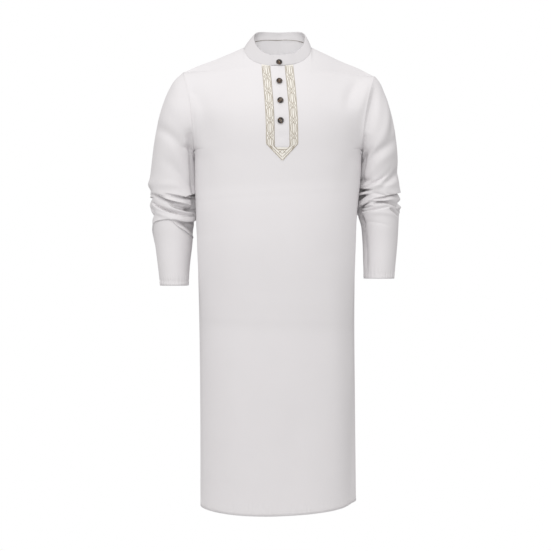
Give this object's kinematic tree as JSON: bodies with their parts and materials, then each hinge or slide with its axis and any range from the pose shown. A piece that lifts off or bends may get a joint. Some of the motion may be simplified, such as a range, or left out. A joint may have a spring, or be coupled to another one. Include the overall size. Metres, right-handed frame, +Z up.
{
  "type": "thobe robe",
  "caption": "Long straight white robe with a stand collar, a buttoned half placket inside a pointed embroidered trim, and long sleeves bunched at the elbows; hollow, as worn.",
  "frame": {"origin": "midway between the high points of the shoulders, at the height where the neck seam meets the shoulder seams, where the wearer holds the robe up", "axes": "+X to the wearer's left across the shoulders, -Y out of the robe's front, +Z up"},
  "size_m": [0.6449, 0.296, 1.2021],
  "materials": {
    "white_cloth": "smooth matt white plain-weave shirting of cotton and polyester",
    "collar_cloth": "the same cloth, doubled over an interlining, edge-stitched",
    "placket_cloth": "the same cloth, folded and top-stitched",
    "embroidery": "white ground with a raised lattice of beige-gold rayon thread",
    "tortoiseshell": "polished dark brown tortoiseshell resin"
  },
  "bodies": {
    "root": {"front": "white_cloth", "back": "white_cloth", "sleeve_left": "white_cloth", "sleeve_right": "white_cloth", "collar": "collar_cloth", "placket": "placket_cloth", "placket_under": "placket_cloth", "embroidered_trim": "embroidery", "button_1": "tortoiseshell", "button_2": "tortoiseshell", "button_3": "tortoiseshell", "button_4": "tortoiseshell"}
  },
  "joints": []
}
